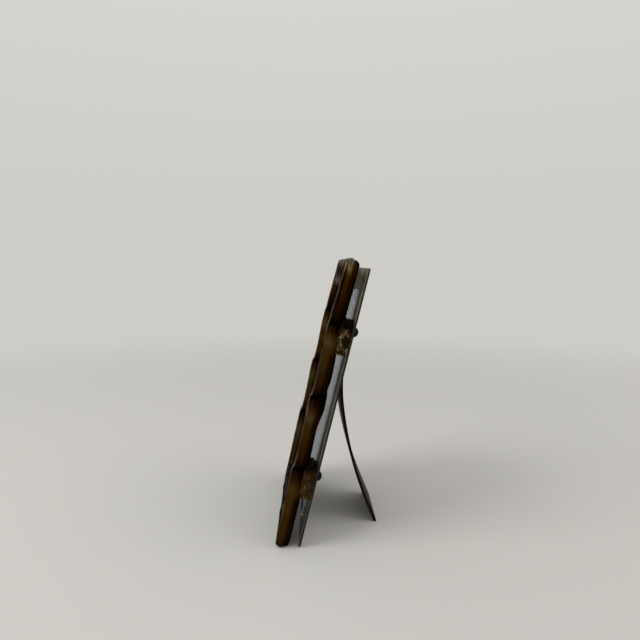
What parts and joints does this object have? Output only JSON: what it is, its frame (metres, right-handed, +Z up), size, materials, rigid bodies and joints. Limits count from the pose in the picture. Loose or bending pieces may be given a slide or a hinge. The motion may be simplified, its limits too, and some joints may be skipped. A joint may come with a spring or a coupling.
{
  "type": "picture frame",
  "caption": "Free-standing upright picture frame: a lobed cast brass front on lugs, a steel back plate with pane and print, and a bent leaf strut behind.",
  "frame": {"origin": "on the ground, on the middle plane, midway between the casting's toe and the strut's heel", "axes": "+Z up, the picture faces -Y and leans back, +X to the right as seen from behind the camera that looks along +Y"},
  "size_m": [0.102, 0.0568, 0.1517],
  "materials": {
    "cast_brass": "sand-cast, dark brown patina, rims polished bright",
    "brazed_brass": "rough, crusted by brazing",
    "sheet_steel": "dull rolled sheet, lightly stained",
    "strut_steel": "dull rolled sheet, darkened edges",
    "black_steel": "blackened, slightly worn",
    "pane_glass": "clear, glossy, a little smeared",
    "print_paper": "plain matt card"
  },
  "bodies": {
    "frame": {"front_casting": "cast_brass", "back_plate": "sheet_steel", "glass_pane": "pane_glass", "strut_leaf": "strut_steel", "strut_rivet_left": "strut_steel", "strut_rivet_right": "strut_steel", "lug_upper_left": "brazed_brass", "lug_upper_right": "brazed_brass", "lug_lower_left": "brazed_brass", "lug_lower_right": "brazed_brass", "screw_upper_left": "black_steel", "screw_upper_right": "black_steel", "screw_lower_left": "black_steel", "screw_lower_right": "black_steel"},
    "print": {"print_card": "print_paper"}
  },
  "joints": [
    {"name": "print_slide", "type": "slide", "parent": "frame", "child": "print", "axis": [0, 0.2385, 0.9711], "range_m": [0, 0.11]}
  ]
}
